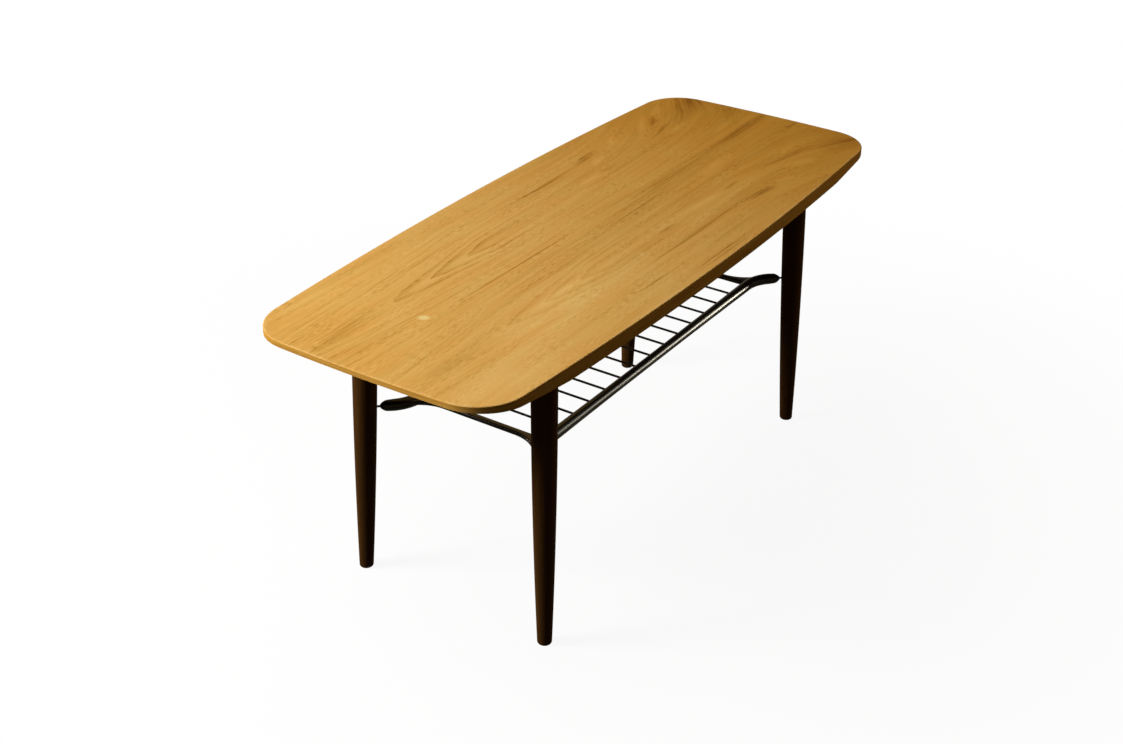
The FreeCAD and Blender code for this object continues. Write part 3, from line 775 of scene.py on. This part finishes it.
def rail_stations():
    """Half of the back rail from its middle out: point, way along, radius and run along the wood."""
    for step in range(rail_steps + 1):
        x = bend_start * step / rail_steps
        radius = rail_waist_radius + (rail_radius - rail_waist_radius) * (x / bend_start) ** 2
        yield Vector((x, rail_y)), Vector((1, 0)), radius, x
    for step in range(1, bend_steps + 1):
        angle = arm_turn * step / bend_steps
        out = Vector((math.sin(angle), -math.cos(angle)))
        way = Vector((math.cos(angle), math.sin(angle)))
        yield bend_centre + out * arm_bend_radius, way, rail_radius, bend_start + arm_bend_radius * angle
    shoulder = arm_length - arm_tip_length
    run = bend_start + arm_bend_radius * arm_turn
    for step in range(1, arm_steps + 1):
        reach = shoulder * step / arm_steps
        radius = rail_radius + (arm_end_radius - rail_radius) * step / arm_steps
        yield bend_end + arm_way * reach, arm_way, radius, run + reach
    for step in range(1, tip_steps + 1):
        share = math.sin(math.pi / 2 * step / tip_steps)
        reach = shoulder + arm_tip_length * share
        radius = arm_end_radius - (arm_end_radius - arm_tip_radius) * share ** 2
        yield bend_end + arm_way * reach, arm_way, radius, run + reach


def make_rail(side, y_sign, material):
    half = list(rail_stations())
    whole = [(point * Vector((-1, 1)), way * Vector((1, -1)), radius, -run)
             for point, way, radius, run in half[:0:-1]] + half
    rings, grain = [], []
    for point, way, radius, run in whole:
        square = Vector((-way.y, way.x))
        ring, straight = [], []
        for step in range(rail_sides):
            angle = 2 * math.pi * step / rail_sides
            side_step, rise = radius * math.cos(angle), radius * math.sin(angle)
            spot = point + square * side_step
            ring.append((spot.x, spot.y * y_sign, rack_height + rise))
            straight.append((run, side_step + other_board * y_sign, rise))
        rings.append(ring)
        grain.append(straight)
    rail = loft("bent_rail_" + side, rings, grain, material)
    finish_piece(rail, ["rack_rail_" + side])


def make_end_rail(side, x_sign, material):
    """A flat-oval bar whose outer edge flares into the arms at both ends."""
    low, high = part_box("rack_end_rail_" + side)
    middle_z, half_height = (low.z + high.z) / 2, (high.z - low.z) / 2
    inner = end_rail_x - end_rail_width / 2
    flare_x = end_rail_x + end_rail_width / 2 + flare_radius
    reach = arm_bend_radius + rail_radius + flare_radius - flare_bite
    flare_y = bend_centre.y - math.sqrt(reach ** 2 - (flare_x - bend_centre.x) ** 2)
    flare_end = flare_y + flare_radius * (bend_centre.y - flare_y) / reach
    places = [flare_y * step / bar_steps for step in range(bar_steps)]
    places += [flare_y + (flare_end - flare_y) * step / flare_steps for step in range(flare_steps + 1)]
    places = [-y for y in places[:0:-1]] + places
    rings, grain = [], []
    for y in places:
        rise = max(abs(y) - flare_y, 0)
        outer = flare_x - math.sqrt(flare_radius ** 2 - rise ** 2)
        stretch = 1 / math.sqrt(1 - (rise / flare_radius) ** 2)
        ring = []
        for x, z_sign, start, round_x in ((outer, 1, 0, stretch), (inner, 1, 90, 1),
                                          (inner, -1, 180, 1), (outer, -1, 270, stretch)):
            inward = -1 if x == outer else 1
            corner_z = middle_z + z_sign * (half_height - end_rail_round)
            for step in range(round_steps + 1):
                angle = math.radians(start + 90 * step / round_steps)
                ring.append((x + end_rail_round * round_x * (inward + math.cos(angle)), y,
                             corner_z + end_rail_round * math.sin(angle)))
        rings.append([(px * x_sign, py, pz) for px, py, pz in ring])
        grain.append([(py, px - end_rail_x + 2 * other_board * x_sign, pz) for px, py, pz in ring])
    rail = loft("flared_end_rail_" + side, rings, grain, material)
    finish_piece(rail, ["rack_end_rail_" + side])


def rung_tree():
    """Straight wires side by side across the rack, as many as the rails have holes for."""
    tree, size = begin_tree("rack_rungs", {
        "Count": "Int", "First": "Vector", "Pitch": "Vector", "Radius": "Float", "Length": "Float",
        "Material": "Material"})
    seats = add(tree, "GeometryNodeMeshLine", {"mode": "OFFSET"}, Count=size["Count"],
                Start_Location=size["First"], Offset=size["Pitch"])
    wire = add(tree, "GeometryNodeMeshCylinder", Vertices=rung_sides, Side_Segments=rung_rings,
               Radius=size["Radius"], Depth=size["Length"])
    laid = add(tree, "GeometryNodeInstanceOnPoints", Points=seats, Instance=wire.outputs["Mesh"],
               Rotation=(math.pi / 2, 0, 0))
    real = add(tree, "GeometryNodeRealizeInstances", Geometry=laid)
    dressed = add(tree, "GeometryNodeSetMaterial", Geometry=real, Material=size["Material"])
    add(tree, "NodeGroupOutput", Geometry=dressed)
    return tree


def make_rungs(material):
    nodes = sorted(name for name in frame["nodes"] if name.startswith("rack_rung_"))
    low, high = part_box(nodes[0])
    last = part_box(nodes[-1])[0]
    rungs = grow("rack_rungs", rung_tree(), {
        "Count": len(nodes), "First": (low + high) / 2,
        "Pitch": ((last.x - low.x) / (len(nodes) - 1), 0, 0), "Radius": (high.z - low.z) / 2,
        "Length": high.y - low.y, "Material": material})
    finish_piece(rungs, nodes)


def make_pin(corner, material):
    x_sign, y_sign = CORNERS[corner]
    low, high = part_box("rack_pin_" + corner)
    near_x, far_x = sorted((abs(low.x), abs(high.x)))
    shift = (pin_radius - pin_chamfer) * math.sin(arm_turn)
    start = arm_tip + arm_way * ((near_x + shift - arm_tip.x) / arm_way.x)
    length = (far_x - near_x - 2 * shift) / arm_way.x
    square = Vector((-arm_way.y, arm_way.x))
    rings = []
    for reach, radius in ((0, pin_radius - pin_chamfer), (pin_chamfer, pin_radius),
                          (length - pin_chamfer, pin_radius), (length, pin_radius - pin_chamfer)):
        ring = []
        for step in range(pin_sides):
            angle = 2 * math.pi * step / pin_sides
            spot = start + arm_way * reach + square * radius * math.cos(angle)
            ring.append((spot.x * x_sign, spot.y * y_sign, rack_height + radius * math.sin(angle)))
        rings.append(ring)
    pin = loft("hanging_pin_" + corner, rings, rings, material)
    finish_piece(pin, ["rack_pin_" + corner])


# Build the table

make_face_veneer()
lipping = sawn_teak_lipping()
for side, x_sign in LEFT_RIGHT.items():
    make_edge_band(side, end_stations(x_sign), lipping)
for side, y_sign in FRONT_BACK.items():
    make_edge_band(side, side_stations(y_sign), lipping)
make_legs(stained_beech_legs())
rack_wood = lacquered_beech_rack()
for side, y_sign in FRONT_BACK.items():
    make_rail(side, y_sign, rack_wood)
for side, x_sign in LEFT_RIGHT.items():
    make_end_rail(side, x_sign, rack_wood)
make_rungs(lacquered_steel_wire())
# Steel blackened in oil: dark grey, dull, a little brown where the oil pooled
black_steel = metal_finish("oil_blackened_steel", {0.3: "#0B0A09", 0.7: "#171512"}, 0.3, (0.35, 0.5), 0.0)
# Steel pressed or cut, then zinc plated: pale bluish grey with cloudy spangle
zinc_steel = metal_finish("zinc_plated_steel", {0.3: "#9EA3A6", 0.7: "#C3C7C8"}, 0.4, (0.3, 0.45), 1.0)
for corner in CORNERS:
    make_pin(corner, black_steel)
make_plate_screws(zinc_steel)

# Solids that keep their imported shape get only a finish
KEPT = {"underside_veneer": sliced_backing_veneer(), "top_core": sawn_core_board(),
        "leg_plate_": zinc_steel, "hanger_bolt_": zinc_steel}
for name, node in frame["nodes"].items():
    for start, material in KEPT.items():
        if name.startswith(start):
            node.data.materials.clear()
            node.data.materials.append(material)


# Studio

def studio_floor():
    """Pale matt floor: white to the camera, where it keeps the table's shadow, pale and warm in
    reflections, a plain grey for the light that it throws back, and clear from below so that the
    underside shows."""
    material = bpy.data.materials.new("studio_floor")
    material.use_nodes = True
    tree = material.node_tree
    tree.nodes.clear()
    path = add(tree, "ShaderNodeLightPath").outputs
    mirrored_ray = add(tree, "ShaderNodeMath", {"operation": "MAXIMUM"},
                       i0=path["Is Glossy Ray"], i1=path["Is Transmission Ray"])
    place = add(tree, "ShaderNodeTexCoord")
    away = add(tree, "ShaderNodeVectorMath", {"operation": "LENGTH"}, i0=place.outputs["Object"])
    share = add(tree, "ShaderNodeMapRange", {"interpolation_type": "SMOOTHSTEP"},
                i0=away.outputs["Value"], i1=0.3, i2=1.5, i3=0.92, i4=1.0)
    lit = add(tree, "ShaderNodeBsdfDiffuse", Color=linear("#F4F4F2"))
    glow = add(tree, "ShaderNodeEmission", Color=linear("#FFFFFF"), Strength=1.0)
    white = add(tree, "ShaderNodeMixShader", i0=share, i1=lit, i2=glow)
    pale = add(tree, "ShaderNodeEmission", Color=linear("#F2E2BE"), Strength=0.3)
    grey = add(tree, "ShaderNodeBsdfDiffuse", Color=linear("#30302E"))
    thrown = add(tree, "ShaderNodeMixShader", i0=mirrored_ray, i1=grey, i2=pale)
    both = add(tree, "ShaderNodeMixShader", i0=path["Is Camera Ray"], i1=thrown, i2=white)
    below = add(tree, "ShaderNodeNewGeometry").outputs["Backfacing"]
    clear = add(tree, "ShaderNodeBsdfTransparent")
    one_way = add(tree, "ShaderNodeMixShader", i0=below, i1=both, i2=clear)
    add(tree, "ShaderNodeOutputMaterial", Surface=one_way)
    return material


def make_floor(half):
    mesh = bpy.data.meshes.new("floor")
    corners = [(-half, -half, 0), (half, -half, 0), (half, half, 0), (-half, half, 0)]
    mesh.from_pydata(corners, [], [(0, 1, 2, 3)])
    mesh.materials.append(studio_floor())
    floor = bpy.data.objects.new("floor", mesh)
    bpy.context.scene.collection.objects.link(floor)


def make_lamp(name, place, target, size, watts, colour="#FFFFFF", lights=True, reflects=True, only=None):
    """A softbox. lights and reflects say what it does to the table; only names the pieces it reaches."""
    lamp = bpy.data.lights.new(name, "AREA")
    lamp.color = linear(colour)[:3]
    lamp.shape = "RECTANGLE"
    lamp.size, lamp.size_y = size
    lamp.energy = watts
    holder = bpy.data.objects.new(name, lamp)
    holder.location = place
    holder.rotation_euler = (Vector(target) - Vector(place)).to_track_quat("-Z", "Y").to_euler()
    holder.visible_camera = False
    holder.visible_diffuse = lights
    holder.visible_glossy = reflects
    holder.light_linking.receiver_collection = only
    bpy.context.scene.collection.objects.link(holder)


make_floor(half=9.0)
make_lamp("key_softbox", (-1.7, 1.63, 1.95), (-0.2, 0, 0.35), (0.9, 0.9), 79)
make_lamp("top_softbox", (-1.0, 0.45, 2.4), (-0.2, 0, 0.47), (1.0, 1.0), 13)
make_lamp("low_fill", (1.69, 1.41, 0.22), (0, 0, 0.3), (0.8, 0.3), 14, reflects=False)
make_lamp("front_fill", (1.4, -1.35, 0.6), (0.1, 0, 0.4), (0.5, 0.4), 2.6, "#FFE2B4", reflects=False)

# Reflectors that only draw the highlights on the lacquered rack
rack_pieces = bpy.data.collections.new("rack_pieces")
for piece in bpy.context.scene.objects:
    if piece.name.startswith(("bent_rail_", "flared_end_rail_", "rack_rungs", "hanging_pin_")):
        rack_pieces.objects.link(piece)
make_lamp("rail_reflector", (3.6, -2.0, 0.62), (0, 0, 0.3), (1.1, 1.0), 430, "#FFF8E2",
          lights=False, only=rack_pieces)
make_lamp("underside_reflector", (-0.12, 0.08, 0.436), (-0.12, 0.08, 0), (0.35, 0.3), 0.4, "#FFD076",
          lights=False, only=rack_pieces)
make_lamp("flare_reflector", (-0.93, 2.33, 0.53), (-0.3, 0, 0.3), (0.6, 0.5), 60, "#FFE8C0",
          lights=False, only=rack_pieces)


def studio_air():
    """Dim warm light from all round. The camera sees it white, and reflections see a pale warm
    backdrop that fades out 15 to 27 degrees above the floor."""
    world = bpy.data.worlds.new("studio_air")
    world.use_nodes = True
    tree = world.node_tree
    path = add(tree, "ShaderNodeLightPath").outputs
    mirrored_ray = add(tree, "ShaderNodeMath", {"operation": "MAXIMUM"},
                       i0=path["Is Glossy Ray"], i1=path["Is Transmission Ray"])
    way = add(tree, "ShaderNodeTexCoord").outputs["Generated"]
    rise = add(tree, "ShaderNodeSeparateXYZ", i0=way).outputs["Z"]
    backdrop = add(tree, "ShaderNodeMapRange", {"interpolation_type": "SMOOTHSTEP"},
                   i0=rise, i1=0.26, i2=0.45, i3=0.6, i4=0.0)
    backdrop = add(tree, "ShaderNodeMath", {"operation": "MULTIPLY"}, i0=backdrop, i1=mirrored_ray)
    seen = add(tree, "ShaderNodeMath", {"operation": "MAXIMUM"}, i0=path["Is Camera Ray"], i1=backdrop)
    strength = add(tree, "ShaderNodeMapRange", i0=seen, i1=0.0, i2=1.0, i3=0.055, i4=1.0)
    colour = add(tree, "ShaderNodeMix", {"data_type": "RGBA"},
                 i0=path["Is Camera Ray"], i6=linear("#FFEACB"), i7=linear("#FFFFFF"))
    plug(tree, tree.nodes["Background"], Color=colour.outputs[2], Strength=strength)
    return world


bpy.context.scene.world = studio_air()
bpy.context.scene.view_settings.view_transform = "Standard"

# Camera at the photograph's view
azimuth, elevation, roll = (math.radians(angle) for angle in (-56.45, 29.53, 0.52))
target = Vector((-0.0598, 0.0207, 0.235))
distance = 2.5299
back = Vector((math.sin(azimuth) * math.cos(elevation), -math.cos(azimuth) * math.cos(elevation),
               math.sin(elevation)))
right = UP.cross(back).normalized()
upward = back.cross(right)
turned_right = right * math.cos(roll) + upward * math.sin(roll)
turned_up = upward * math.cos(roll) - right * math.sin(roll)
lens = bpy.data.cameras.new("camera")
lens.sensor_width = 36
lens.lens = 52.64
camera = bpy.data.objects.new("camera", lens)
camera.matrix_world = Matrix.Translation(target + back * distance) @ Matrix(
    (turned_right, turned_up, back)).transposed().to_4x4()
bpy.context.scene.collection.objects.link(camera)
bpy.context.scene.camera = camera

bpy.context.view_layer.update()
